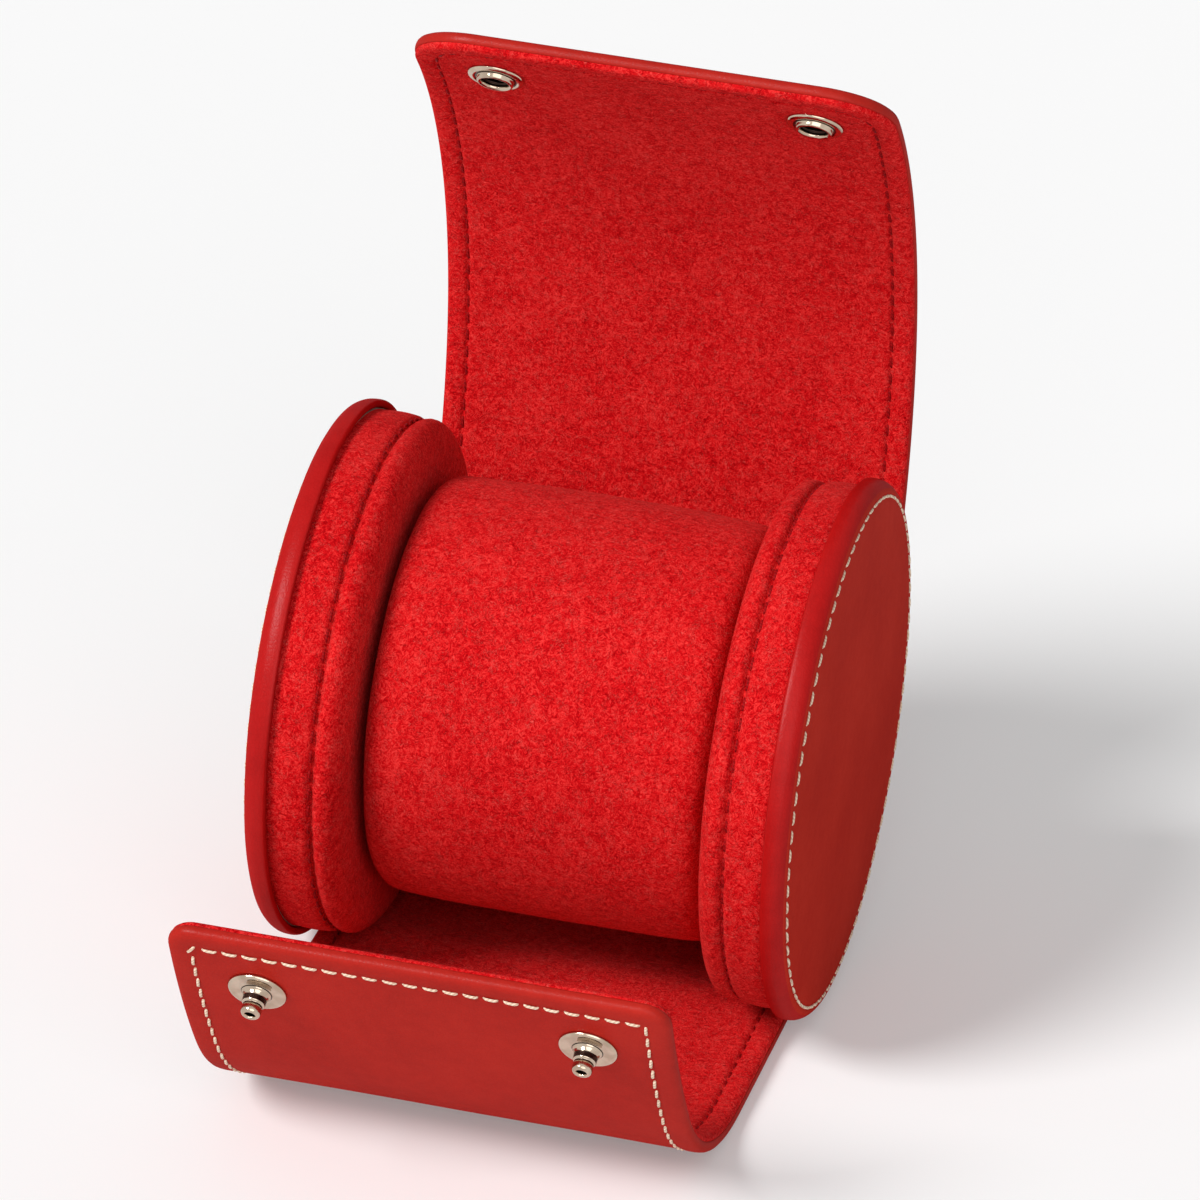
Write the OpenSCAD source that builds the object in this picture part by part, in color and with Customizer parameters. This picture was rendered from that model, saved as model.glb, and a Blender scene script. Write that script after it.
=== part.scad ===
// Travel case for one wristwatch: a round roll with two padded ends, a pillow between them
// and one long wrap of leather and suede that closes over both with a pair of press studs.
// X runs along the roll, -Y is the front, +Z is up. The origin is on the floor, below the
// roll's axis. The case stands open: the lid is bowed up behind, the front flap lies forward.

/* [End caps] */
// Diameter of the leather end caps
cap_d = 83; // [78:0.5:90]
// Thickness of one end cap
cap_t = 4; // [3.5:0.25:6]
// Radius of the rounded outer edge of a cap
cap_edge_r = 2.5; // [1.5:0.25:3]
// Thickness of the leather on the caps
cap_leather_t = 1.3; // [0.8:0.1:1.3]

/* [End pads] */
// How far the fullest part of a pad stays inside the rim of its cap
pad_inset = 1.3; // [1.3:0.1:4]
// Depth of a pad, from the rim of its cap inwards
pad_depth = 10.5; // [9.5:0.5:12]
// Width of the strip that is sewn round a pad
strip_w = 6.4; // [5.5:0.1:6.9]
// How far the suede draws in at a pad's seams
seam_draw = 0.7; // [0.3:0.1:0.8]
// Thickness of the suede on the pads and on the pillow
suede_t = 1; // [0.6:0.1:1.2]

/* [Pillow] */
// Diameter of the pillow
pillow_d = 65; // [54:1:68]
// Gap between an end of the pillow and the pad beside it
pillow_gap = 0.5; // [0.4:0.1:1]
// Radius of the rounded edge of the pillow
pillow_edge_r = 3.5; // [2.5:0.5:5]

/* [Wrap] */
// Width of the wrap, along the roll
wrap_w = 74.8; // [68:0.2:94]
// Gap between an edge of the wrap and the rim of the cap beside it
side_gap = 0.6; // [0.4:0.1:2]
// Thickness of the wrap's leather
leather_t = 1.3; // [1:0.1:1.6]
// Thickness of the wrap's suede lining with its backing
lining_t = 1.4; // [1:0.1:1.6]
// Width of the turned leather edge that shows beside the lining
turned_edge = 1.6; // [1.2:0.1:2.5]
// How far the leather is pressed flat where the roll stands on it
sole_press = 0.6; // [0.3:0.1:0.8]
// Gap between two neighbouring lengths of the wrap
fold_gap = 0.1; // [0.06:0.02:0.2]

/* [Lid] */
// Angle below the axis at which the wrap leaves the pads at the back
lid_leave = 40; // [36:1:44]
// Length of the fixed wrap behind the pads, before the first fold
lid_root = 13; // [12:0.5:15]
// Radius of the open lid's bow
lid_bow_r = 85; // [80:1:95]
// Lengths of the lid between its folds, from the root to the free edge
lid_lengths = [22, 26, 27, 27, 26];
// Radius of the lid's free corners
lid_corner_r = 7; // [4:0.5:9]

/* [Flap] */
// Length of the fixed wrap in front of the axis, before the first fold
flap_root = 13; // [12:0.5:15]
// Length of each of the two lengths that lie flat on the floor
flap_flat = 14; // [12:0.5:16]
// Length of each of the two lengths that curl up
flap_curl = 20; // [18:0.5:22]
// Angle through which each of them curls
flap_curl_angle = 26; // [22:1:27]
// Length of the lip
lip_length = 32; // [28:1:36]
// Angle through which the lip curls
lip_angle = 10; // [6:1:14]
// Radius of the flap's free corners
flap_corner_r = 4; // [3:0.5:6]

/* [Press studs] */
// Distance of each press stud from the middle of the wrap
snap_x = 24.7; // [18:0.1:28]
// Distance of the press studs from the free edges
snap_edge = 12; // [10:0.5:14]
// Diameter of the flanges
snap_d = 8.8; // [7.6:0.2:9.4]
// Diameter of the caps on the outside of the lid
snap_cap_d = 9.6; // [8:0.2:11]
// Bore of a socket
socket_bore = 4.3; // [4:0.1:4.6]
// Height of a socket above the lining
socket_h = 1.3; // [1:0.1:1.4]
// Diameter of a stud's barrel
barrel_d = 3.5; // [3:0.1:3.6]

/* [Hidden] */

$fn = 96;

leather_red = [0.62, 0.09, 0.07];
suede_red = [0.78, 0.03, 0.05];
board_grey = [0.55, 0.52, 0.48];
foam_white = [0.9, 0.88, 0.82];
snap_metal = [0.72, 0.66, 0.6];

glue = 0.05;              // film between two pieces that are stuck together
board_t = 2.3;            // stiff board inside an end cap
facing_edge_r = 3.5;      // rounded inner edge of a pad
face_crown = 0.4;         // crown of a flat suede face
pillow_crown = 0.5;       // how much the pillow thins towards its ends
arc_steps = 8;            // steps of a rounded corner in an outline
back_steps = 24;          // steps of the wrap's outline round the pads
overcut = 1;              // how far a cutter runs past what it cuts

cap_r = cap_d / 2;
pad_r = cap_r - pad_inset;
pillow_r = pillow_d / 2;
rim_x = wrap_w / 2 + side_gap;
cap_x = rim_x + cap_t;
seam_x = rim_x - strip_w;
pad_x = rim_x - pad_depth;
seam_r = pad_r - seam_draw;
pad_inner_r = seam_r - suede_t - glue;
board_x = cap_x - cap_leather_t - glue - board_t;
pillow_x = pad_x - pillow_gap;

wrap_t = leather_t + lining_t;
wrap_r = pad_r + glue;
axis_z = wrap_r + wrap_t - sole_press;

// An arc of the wrap is [centre y, centre z, radius of the lining's face, from, to], with the
// angles counted in the YZ plane from +Y towards +Z.
function degrees_for(length, radius) = length * 180 / (PI * radius);
function total(list, count, i = 0) = i >= count ? 0 : list[i] + total(list, count, i + 1);

lid_shift = lid_bow_r - wrap_r;
lid_y = -lid_shift * cos(lid_leave);
lid_z = axis_z + lid_shift * sin(lid_leave);
lid_start = degrees_for(lid_root, lid_bow_r) - lid_leave;
lid_last = len(lid_lengths) - 1;
function lid_angle(i) = lid_start + degrees_for(total(lid_lengths, i), lid_bow_r);
function lid_arc(i) = [lid_y, lid_z, lid_bow_r, lid_angle(i), lid_angle(i + 1)];
lid_tip_a = lid_angle(lid_last + 1);

foot_angle = 8;               // how far in front of its lowest point the wrap leaves the pads
fold_y = -flap_root + fold_gap / 2;
floor_a = -acos(sqrt(pow(wrap_r + wrap_t, 2) - pow(axis_z, 2)) / (wrap_r + wrap_t));

curl_r = flap_curl * 180 / (PI * flap_curl_angle);
curl_y = -flap_root - 2 * flap_flat;
curl_z = wrap_t + curl_r;
curl_end = -90 - 2 * flap_curl_angle;
function curl_arc(i) =
    [curl_y, curl_z, curl_r, -90 - (i + 1) * flap_curl_angle, -90 - i * flap_curl_angle];
lip_r = lip_length * 180 / (PI * lip_angle);
lip_tip_a = curl_end - lip_angle;
lip_arc = [
    curl_y - (lip_r - curl_r) * cos(curl_end),
    curl_z - (lip_r - curl_r) * sin(curl_end),
    lip_r, lip_tip_a, curl_end
];

snap_hole_r = socket_bore / 2 + 0.45;
socket_flange_t = 0.45;
stud_flange_t = 0.6;
eyelet_t = 0.5;
post_r = 1.2;
snap_cap_t = 1.1;
snap_cap_bevel = 1.2;
cap_seat_t = 0.25;        // plug that seats a snap's outer cap in the leather
closed_gap = 0.3;         // between a stud's flange and its socket when the case is shut
stud_h = stud_flange_t + closed_gap + socket_h + wrap_t - 2 * cap_seat_t;

// ---------------------------------------------------------------- outlines and placing

// Points of an arc, for an outline
function arc_points(centre, radius, from, to, steps = arc_steps) = [
    for (i = [0 : steps])
        let (a = from + (to - from) * i / steps)
        [centre[0] + radius * cos(a), centre[1] + radius * sin(a)]
];

// Points of a shallow crown between two points, for an outline
function crown_points(start, end, height) = [
    for (i = [0 : arc_steps])
        let (t = i / arc_steps, lift = 4 * height * t * (1 - t), d = end - start)
        start + t * d + lift * [d[1], -d[0]] / norm(d)
];

// Turns an outline of [radius, distance along the roll] about the roll's axis
module turned(points) {
    translate([0, 0, axis_z])
        rotate([0, 90, 0])
            rotate_extrude()
                polygon(points);
}

// The right-hand piece, or its mirror image on the left
module on_side(left) {
    mirror([left ? 1 : 0, 0, 0])
        children();
}

// A length of the wrap along an arc. Depths are counted outwards from the lining's face, and
// the trims shorten its two ends.
module arc_slab(arc, depth_from, depth_to, width, trim_from, trim_to) {
    from = arc[3] + degrees_for(trim_from, arc[2]);
    to = arc[4] - degrees_for(trim_to, arc[2]);
    translate([0, arc[0], arc[1]])
        rotate([90, 0, 90])
            rotate([0, 0, from])
                rotate_extrude(angle = to - from)
                    translate([arc[2] + depth_from, -width / 2])
                        square([depth_to - depth_from, width]);
}

// A length of the wrap that lies flat on the floor, from one y to another
module flat_slab(y_from, y_to, depth_from, depth_to, width) {
    translate([-width / 2, y_from, wrap_t - depth_to])
        cube([width, y_to - y_from, depth_to - depth_from]);
}

// Places something on an arc's lining face, with its own +Z pointing out of the wrap
module on_arc(arc, angle, x) {
    translate([x, arc[0] + arc[2] * cos(angle), arc[1] + arc[2] * sin(angle)])
        rotate([angle - 90, 0, 0])
            children();
}

// A block that trims a free edge and rounds its corners. It stands on the edge, with the edge
// at y = 0 and the wrap reaching away from it along +Y, or along -Y where turned is true.
module edge_block(half_width, length, radius, turned) {
    corner = arc_points([half_width - radius, radius], radius, -90, 0);
    far = [half_width, length];
    half = concat(corner, [far]);
    outline = concat(half, [for (i = [len(half) - 1 : -1 : 0]) [-half[i][0], half[i][1]]]);
    mirror([0, turned ? 1 : 0, 0])
        translate([0, 0, -length / 2])
            linear_extrude(length / 2 + wrap_t + overcut)
                polygon(outline);
}

module at_lid_snaps() {
    arc = lid_arc(lid_last);
    for (side = [-1, 1])
        on_arc(arc, lid_tip_a - degrees_for(snap_edge, lid_bow_r), side * snap_x)
            children();
}

module through_hole(radius) {
    translate([0, 0, -overcut])
        cylinder(r = radius, h = wrap_t + 2 * overcut);
}

module at_flap_snaps() {
    for (side = [-1, 1])
        on_arc(lip_arc, lip_tip_a + degrees_for(snap_edge, lip_r), side * snap_x)
            children();
}

// ---------------------------------------------------------------- fixed back of the wrap

// The fixed back in the YZ plane, at one depth from the lining's face: from the flap's first
// fold, round below and behind the pads, to the lid's first fold, and past each fold by past
function back_line(depth, past) =
    let (
        ring_from = depth < wrap_t ? -90 - foot_angle : floor_a,
        root_end = lid_start - degrees_for(fold_gap / 2, lid_bow_r),
        root_past = root_end + degrees_for(past, lid_bow_r),
        ring = arc_points([0, axis_z], wrap_r + depth, ring_from, -lid_leave, back_steps),
        root = arc_points([lid_y, lid_z], lid_bow_r + depth, -lid_leave, root_end)
    )
    concat(
        past > 0 ? [[fold_y - past, wrap_t - depth]] : [],
        [[fold_y, wrap_t - depth]],
        ring,
        [for (i = [1 : arc_steps]) root[i]],
        past > 0 ? [arc_points([lid_y, lid_z], lid_bow_r + depth, root_past, root_past, 1)[0]] : []
    );

function backwards(points) = [for (i = [len(points) - 1 : -1 : 0]) points[i]];

module back_slab(depth_from, depth_to, width, past = 0) {
    rotate([90, 0, 90])
        linear_extrude(width, center = true)
            polygon(concat(back_line(depth_from, past), backwards(back_line(depth_to, past))));
}

module back_leather() {
    color(leather_red)
        difference() {
            back_slab(0, wrap_t, wrap_w);
            back_slab(-overcut, lining_t, wrap_w - 2 * turned_edge, overcut);
        }
}

module back_lining() {
    color(suede_red)
        back_slab(0, lining_t, wrap_w - 2 * turned_edge - 2 * glue);
}

// ---------------------------------------------------------------- lid

module lid_leather(i) {
    color(leather_red)
        difference() {
            lid_panel(i, 0, wrap_t, 0);
            lid_panel(i, -overcut, lining_t, turned_edge);
        }
}

module lid_lining(i) {
    color(suede_red)
        lid_panel(i, 0, lining_t, turned_edge + glue);
}

// One length of the lid between two depths, its edges moved in by inset. The last one has the
// free edge, with its round corners and the holes for the press studs.
module lid_panel(i, depth_from, depth_to, inset) {
    arc = lid_arc(i);
    trim = depth_from < 0 ? -overcut : fold_gap / 2;
    if (i < lid_last)
        arc_slab(arc, depth_from, depth_to, wrap_w - 2 * inset, trim, trim);
    else
        difference() {
            intersection() {
                arc_slab(arc, depth_from, depth_to, wrap_w + 2 * overcut, trim, -overcut);
                on_arc(arc, lid_tip_a - degrees_for(inset, lid_bow_r), 0)
                    edge_block(wrap_w / 2 - inset, 2 * lid_lengths[i], lid_corner_r - inset,
                               false);
            }
            if (depth_from == 0)
                at_lid_snaps()
                    through_hole(snap_hole_r);
        }
}

// ---------------------------------------------------------------- flap

// One length of the flap before the lip. The first two lie flat and the next two curl.
module flap_slab(i, depth_from, depth_to, width, trim) {
    if (i < 2)
        flat_slab(-flap_root - (i + 1) * flap_flat + trim, -flap_root - i * flap_flat - trim,
                  depth_from, depth_to, width);
    else
        arc_slab(curl_arc(i - 2), depth_from, depth_to, width, trim, trim);
}

module flap_leather(i) {
    color(leather_red)
        difference() {
            flap_panel(i, 0, wrap_t, 0);
            flap_panel(i, -overcut, lining_t, turned_edge);
        }
}

module flap_lining(i) {
    color(suede_red)
        flap_panel(i, 0, lining_t, turned_edge + glue);
}

// One length of the flap between two depths, its edges moved in by inset. The lip has round
// corners and the holes for the press studs.
module flap_panel(i, depth_from, depth_to, inset) {
    trim = depth_from < 0 ? -overcut : fold_gap / 2;
    if (i < 4)
        flap_slab(i, depth_from, depth_to, wrap_w - 2 * inset, trim);
    else
        difference() {
            intersection() {
                arc_slab(lip_arc, depth_from, depth_to, wrap_w + 2 * overcut, -overcut, trim);
                on_arc(lip_arc, lip_tip_a + degrees_for(inset, lip_r), 0)
                    edge_block(wrap_w / 2 - inset, 2 * lip_length, flap_corner_r - inset, true);
            }
            if (depth_from == 0)
                at_flap_snaps()
                    through_hole(post_r + glue);
        }
}

// ---------------------------------------------------------------- press studs

// How far the hollow of an arc lies below a flat disc that spans it
function hollow(disc_r, arc_r) = arc_r - sqrt(pow(arc_r, 2) - pow(disc_r, 2));

module lid_sockets() {
    seat = hollow(snap_d / 2, lid_bow_r) + glue;
    color(snap_metal)
        at_lid_snaps()
            difference() {
                union() {
                    translate([0, 0, -seat - socket_flange_t])
                        cylinder(d = snap_d, h = socket_flange_t);
                    translate([0, 0, -socket_h])
                        cylinder(d1 = snap_d - 2.6, d2 = snap_d - 1.8, h = socket_h - seat);
                    translate([0, 0, -seat])
                        cylinder(r = snap_hole_r - glue, h = seat + wrap_t - 2 * cap_seat_t);
                }
                translate([0, 0, -socket_h - overcut])
                    cylinder(d = socket_bore, h = socket_h + wrap_t + 2 * overcut);
            }
}

module lid_snap_caps() {
    color(snap_metal)
        at_lid_snaps() {
            translate([0, 0, wrap_t - cap_seat_t])
                cylinder(r = snap_hole_r - glue, h = cap_seat_t);
            translate([0, 0, wrap_t])
                cylinder(d = snap_cap_d, h = snap_cap_t / 2);
            translate([0, 0, wrap_t + snap_cap_t / 2])
                cylinder(d1 = snap_cap_d, d2 = snap_cap_d - 2 * snap_cap_bevel, h = snap_cap_t / 2);
        }
}

// A stud has a waist below its hollow head
module flap_studs() {
    waist_r = barrel_d / 2 - 0.4;
    head_h = 1.2;
    tip_h = 0.6;
    color(snap_metal)
        at_flap_snaps()
            translate([0, 0, wrap_t])
                difference() {
                    union() {
                        cylinder(d = snap_d, h = stud_flange_t);
                        cylinder(d = barrel_d, h = stud_flange_t + tip_h);
                        cylinder(r = waist_r, h = stud_h - tip_h);
                        translate([0, 0, stud_h - tip_h - head_h])
                            cylinder(d = barrel_d, h = head_h);
                        translate([0, 0, stud_h - tip_h])
                            cylinder(d1 = barrel_d, d2 = barrel_d - 1, h = tip_h);
                    }
                    translate([0, 0, stud_h - head_h])
                        cylinder(d = barrel_d - 2, h = head_h + overcut);
                }
}

module flap_eyelets() {
    seat = hollow(snap_d / 2, lip_r) + glue;
    color(snap_metal)
        at_flap_snaps() {
            translate([0, 0, -seat - eyelet_t])
                cylinder(d1 = snap_d - 2, d2 = snap_d - 1.2, h = eyelet_t);
            translate([0, 0, -seat])
                cylinder(r = post_r, h = seat + wrap_t);
        }
}

// ---------------------------------------------------------------- end caps and pads

module cap_leather(left) {
    inner_r = cap_r - cap_leather_t;
    edge = arc_points([cap_r - cap_edge_r, cap_x - cap_edge_r], cap_edge_r, 90, 0);
    color(leather_red)
        on_side(left)
            turned(concat(
                [[0, cap_x - cap_leather_t], [0, cap_x]],
                edge,
                [[cap_r, rim_x], [inner_r, rim_x], [inner_r, cap_x - cap_leather_t]]
            ));
}

module cap_board(left) {
    color(board_grey)
        on_side(left)
            translate([board_x, 0, axis_z])
                rotate([0, 90, 0])
                    cylinder(r = cap_r - cap_leather_t - glue, h = board_t);
}

// The strip is glued into its cap and bulges between its two seams
module pad_strip(left) {
    outer = crown_points([seam_r, seam_x], [seam_r, rim_x], seam_draw);
    color(suede_red)
        on_side(left)
            turned(concat(
                outer,
                [[seam_r, board_x - glue], [seam_r - suede_t, board_x - glue],
                 [seam_r - suede_t, seam_x]]
            ));
}

// The facing is a shallow cup, drawn in at its seam and crowned across its face
module pad_facing(left) {
    edge_r = facing_edge_r;
    outer_r = seam_r + seam_draw / 2;
    edge = arc_points([outer_r - edge_r, pad_x + face_crown + edge_r], edge_r, 0, -90);
    color(suede_red)
        on_side(left)
            turned(concat(
                [[seam_r - suede_t, seam_x], [seam_r, seam_x]],
                edge,
                [[0, pad_x], [0, pad_x + face_crown + suede_t],
                 [pad_inner_r - edge_r, pad_x + face_crown + suede_t],
                 [seam_r - suede_t, pad_x + face_crown + edge_r]]
            ));
}

module pad_foam(left) {
    foam_x = pad_x + face_crown + suede_t + glue;
    corner = facing_edge_r - suede_t;
    color(foam_white)
        on_side(left)
            turned([
                [0, foam_x], [pad_inner_r - facing_edge_r, foam_x],
                [pad_inner_r, foam_x + corner], [pad_inner_r, board_x - glue],
                [0, board_x - glue]
            ]);
}

// ---------------------------------------------------------------- pillow

module pillow_cover() {
    end_r = pillow_r - pillow_crown;
    edge_x = pillow_x - face_crown - pillow_edge_r;
    inner_r = end_r - suede_t;
    body = crown_points([end_r, -edge_x], [end_r, edge_x], pillow_crown);
    right_edge = arc_points([end_r - pillow_edge_r, edge_x], pillow_edge_r, 0, 90);
    left_edge = arc_points([end_r - pillow_edge_r, -edge_x], pillow_edge_r, -90, 0);
    face_r = end_r - pillow_edge_r;
    end_x = pillow_x - face_crown - suede_t;
    color(suede_red)
        turned(concat(
            [[face_r, -end_x]],
            left_edge, body, right_edge,
            [[face_r, end_x], [inner_r, edge_x], [inner_r, -edge_x]]
        ));
}

module pillow_ends() {
    face_r = pillow_r - pillow_crown - pillow_edge_r - glue;
    face_x = pillow_x - face_crown;
    color(suede_red)
        for (left = [false, true])
            on_side(left)
                turned([
                    [0, face_x - suede_t], [0, pillow_x], [face_r * 0.6, pillow_x - face_crown / 4],
                    [face_r, face_x], [face_r, face_x - suede_t]
                ]);
}

module pillow_foam() {
    end_r = pillow_r - pillow_crown;
    edge_x = pillow_x - face_crown - pillow_edge_r;
    end_x = pillow_x - face_crown - suede_t - glue;
    face_r = end_r - pillow_edge_r - glue;
    side_r = end_r - suede_t - glue;
    color(foam_white)
        turned([
            [0, -end_x], [face_r, -end_x], [side_r, -edge_x], [side_r, edge_x],
            [face_r, end_x], [0, end_x]
        ]);
}

// ---------------------------------------------------------------- the parts

back_leather();
back_lining();
cap_leather(true);  // left_cap_leather
cap_board(true);  // left_cap_board
pad_strip(true);  // left_pad_strip
pad_facing(true);  // left_pad_facing
pad_foam(true);  // left_pad_foam
cap_leather(false);  // right_cap_leather
cap_board(false);  // right_cap_board
pad_strip(false);  // right_pad_strip
pad_facing(false);  // right_pad_facing
pad_foam(false);  // right_pad_foam
pillow_cover();
pillow_ends();
pillow_foam();
lid_leather(0);  // lid_leather_1
lid_leather(1);  // lid_leather_2
lid_leather(2);  // lid_leather_3
lid_leather(3);  // lid_leather_4
lid_leather(4);  // lid_leather_5
lid_lining(0);  // lid_lining_1
lid_lining(1);  // lid_lining_2
lid_lining(2);  // lid_lining_3
lid_lining(3);  // lid_lining_4
lid_lining(4);  // lid_lining_5
flap_leather(0);  // flap_leather_1
flap_leather(1);  // flap_leather_2
flap_leather(2);  // flap_leather_3
flap_leather(3);  // flap_leather_4
flap_leather(4);  // flap_leather_5
flap_lining(0);  // flap_lining_1
flap_lining(1);  // flap_lining_2
flap_lining(2);  // flap_lining_3
flap_lining(3);  // flap_lining_4
flap_lining(4);  // flap_lining_5
lid_sockets();
lid_snap_caps();
flap_studs();
flap_eyelets();
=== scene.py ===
"""Dresses the watch roll in leather, suede, thread and metal.

Lengths are in millimetres up to the moment a mesh is made. The wrap is drawn as a flat sheet:
x runs across it, s along its lining from the flap's free edge to the lid's, and depth from the
lining's face outwards through the leather.
"""
import math
from collections import namedtuple

import bpy
import numpy as np
from mathutils import Matrix, Vector


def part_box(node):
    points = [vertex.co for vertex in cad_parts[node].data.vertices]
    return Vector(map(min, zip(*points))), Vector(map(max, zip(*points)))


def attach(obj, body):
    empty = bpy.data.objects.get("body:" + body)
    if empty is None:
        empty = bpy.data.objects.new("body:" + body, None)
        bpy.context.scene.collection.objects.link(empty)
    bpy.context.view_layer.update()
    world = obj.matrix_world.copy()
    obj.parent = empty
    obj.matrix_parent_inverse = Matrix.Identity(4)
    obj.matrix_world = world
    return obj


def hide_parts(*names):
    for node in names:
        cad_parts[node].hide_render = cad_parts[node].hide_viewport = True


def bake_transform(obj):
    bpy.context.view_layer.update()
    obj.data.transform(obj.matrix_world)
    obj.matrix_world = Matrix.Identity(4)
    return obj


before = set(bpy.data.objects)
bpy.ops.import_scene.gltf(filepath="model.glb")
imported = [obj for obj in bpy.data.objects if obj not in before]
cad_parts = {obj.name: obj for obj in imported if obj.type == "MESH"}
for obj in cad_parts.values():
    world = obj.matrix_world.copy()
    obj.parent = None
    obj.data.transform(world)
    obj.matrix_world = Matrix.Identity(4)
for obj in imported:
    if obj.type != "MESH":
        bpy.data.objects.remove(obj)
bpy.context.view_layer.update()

MM = 0.001
PI = math.pi


def box_side(node, end, axis):
    """A side of a CAD node's box, to 0.01 mm. end is 0 for its low side, 1 for its high one."""
    return round(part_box(node)[end]["xyz".index(axis)] / MM, 2)


# Sizes of the CAD model, read from its boxes. The left half mirrors the right one.
CAP_X = box_side("right_cap_leather", 1, "x")
RIM_X = box_side("right_cap_leather", 0, "x")
SEAM_X = box_side("right_pad_facing", 1, "x")
PAD_X = box_side("right_pad_facing", 0, "x")
PILLOW_X = box_side("pillow_ends", 1, "x")
WRAP_HALF = box_side("back_leather", 1, "x")
WRAP_T = box_side("flap_lining_1", 1, "z")
AXIS_Z = (box_side("right_pad_strip", 0, "z") + box_side("right_pad_strip", 1, "z")) / 2
CAP_R = AXIS_Z - box_side("right_cap_leather", 0, "z")
PAD_R = AXIS_Z - box_side("right_pad_strip", 0, "z")
PILLOW_R = AXIS_Z - box_side("pillow_cover", 0, "z")

# The wrap's path, with the CAD model's sizes. Angles are in degrees.
WRAP_R = 40.25            # of the stretch that is glued round the pads
FOOT_ANGLE = 8            # from straight down to where that stretch starts
LID_LEAVE = 40            # from level down to where the lid leaves the pads
LID_BOW_R = 85            # of the open lid
LID_ROOT = 13             # the fixed start of the lid's bow
LID_LENGTHS = (22, 26, 27, 27, 26)      # between its folds, up to its free edge
FLAP_ROOT = 13            # from under the axis to the flap's first fold
FLAP_FLAT = 14            # each of the flap's two flat lengths
FLAP_CURL = 20            # each of its two curled lengths
CURL_ANGLE = 26           # that each of those turns
LIP_LENGTH = 32           # the flap's last length
LIP_ANGLE = 10            # that it turns

# Round corners of the wrap's free ends. The CAD model's lid has a smaller radius, 7.
LID_CORNER_R = 11
FLAP_CORNER_R = 4

# Places of the press studs, as in the CAD model
SNAP_X = 24.7             # from the middle of the wrap
SNAP_EDGE = 12            # from its free ends

# The camera, with its angles in degrees
CAMERA_AZIMUTH = 13.06
CAMERA_ELEVATION = 26.02
CAMERA_ROLL = 3.47
CAMERA_PLACE = (278.56, -1193.56, 659.03)
CAMERA_LENS = 270.75
CAMERA_SENSOR = 36
CAMERA_CLIP = 10

FLOOR_REACH = 6000
FLOOR_GAP = 0.2           # between the floor and the roll
FLOOR_GLOW = 0.22         # share of plain white in how the floor looks
FLOOR_WHITE = 250         # sRGB greys from 0 to 255
WORLD_WHITE = 249
AMBIENT = 0.3             # strength of the even light from all sides

# Distant lights by name: the side they come from, their strength and their width in degrees
SUNS = {
    "key": ((-0.66, -0.74, 0.85), 2.72, 22),
    "fill": ((0.4, -1.15, 0.6), 0.95, 50),
}


# ---------------------------------------------------------------- camera, light, stage

def make_camera():
    """A long lens that looks down at the open roll from its front, a little from the right."""
    azimuth = math.radians(CAMERA_AZIMUTH)
    elevation = math.radians(CAMERA_ELEVATION)
    roll = math.radians(CAMERA_ROLL)
    back = Vector((math.sin(azimuth) * math.cos(elevation),
                   -math.cos(azimuth) * math.cos(elevation), math.sin(elevation)))
    right = Vector((math.cos(azimuth), math.sin(azimuth), 0))
    up = back.cross(right)
    across = math.cos(roll) * right + math.sin(roll) * up
    upright = -math.sin(roll) * right + math.cos(roll) * up
    place = Matrix((across, upright, back)).transposed().to_4x4()
    place.translation = Vector(CAMERA_PLACE) * MM
    data = bpy.data.cameras.new("camera")
    data.sensor_width = CAMERA_SENSOR
    data.lens = CAMERA_LENS
    data.clip_start = CAMERA_CLIP * MM
    camera = bpy.data.objects.new("camera", data)
    bpy.context.collection.objects.link(camera)
    camera.matrix_world = place
    bpy.context.scene.camera = camera


def make_suns():
    """The distant lights, each turned to shine from its side."""
    for name, (place, strength, width) in SUNS.items():
        data = bpy.data.lights.new(name, "SUN")
        data.energy = strength
        data.angle = math.radians(width)
        light = bpy.data.objects.new(name, data)
        bpy.context.collection.objects.link(light)
        light.rotation_euler = Vector(place).to_track_quat("Z", "Y").to_euler()


def rgb(red, green, blue):
    """The linear colour of an sRGB one given as 0 to 255."""
    def linear(value):
        value /= 255
        return value / 12.92 if value <= 0.04045 else ((value + 0.055) / 1.055) ** 2.4
    return (linear(red), linear(green), linear(blue), 1)


def grey(value):
    """The linear colour of an sRGB grey given as 0 to 255."""
    return rgb(value, value, value)


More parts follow.
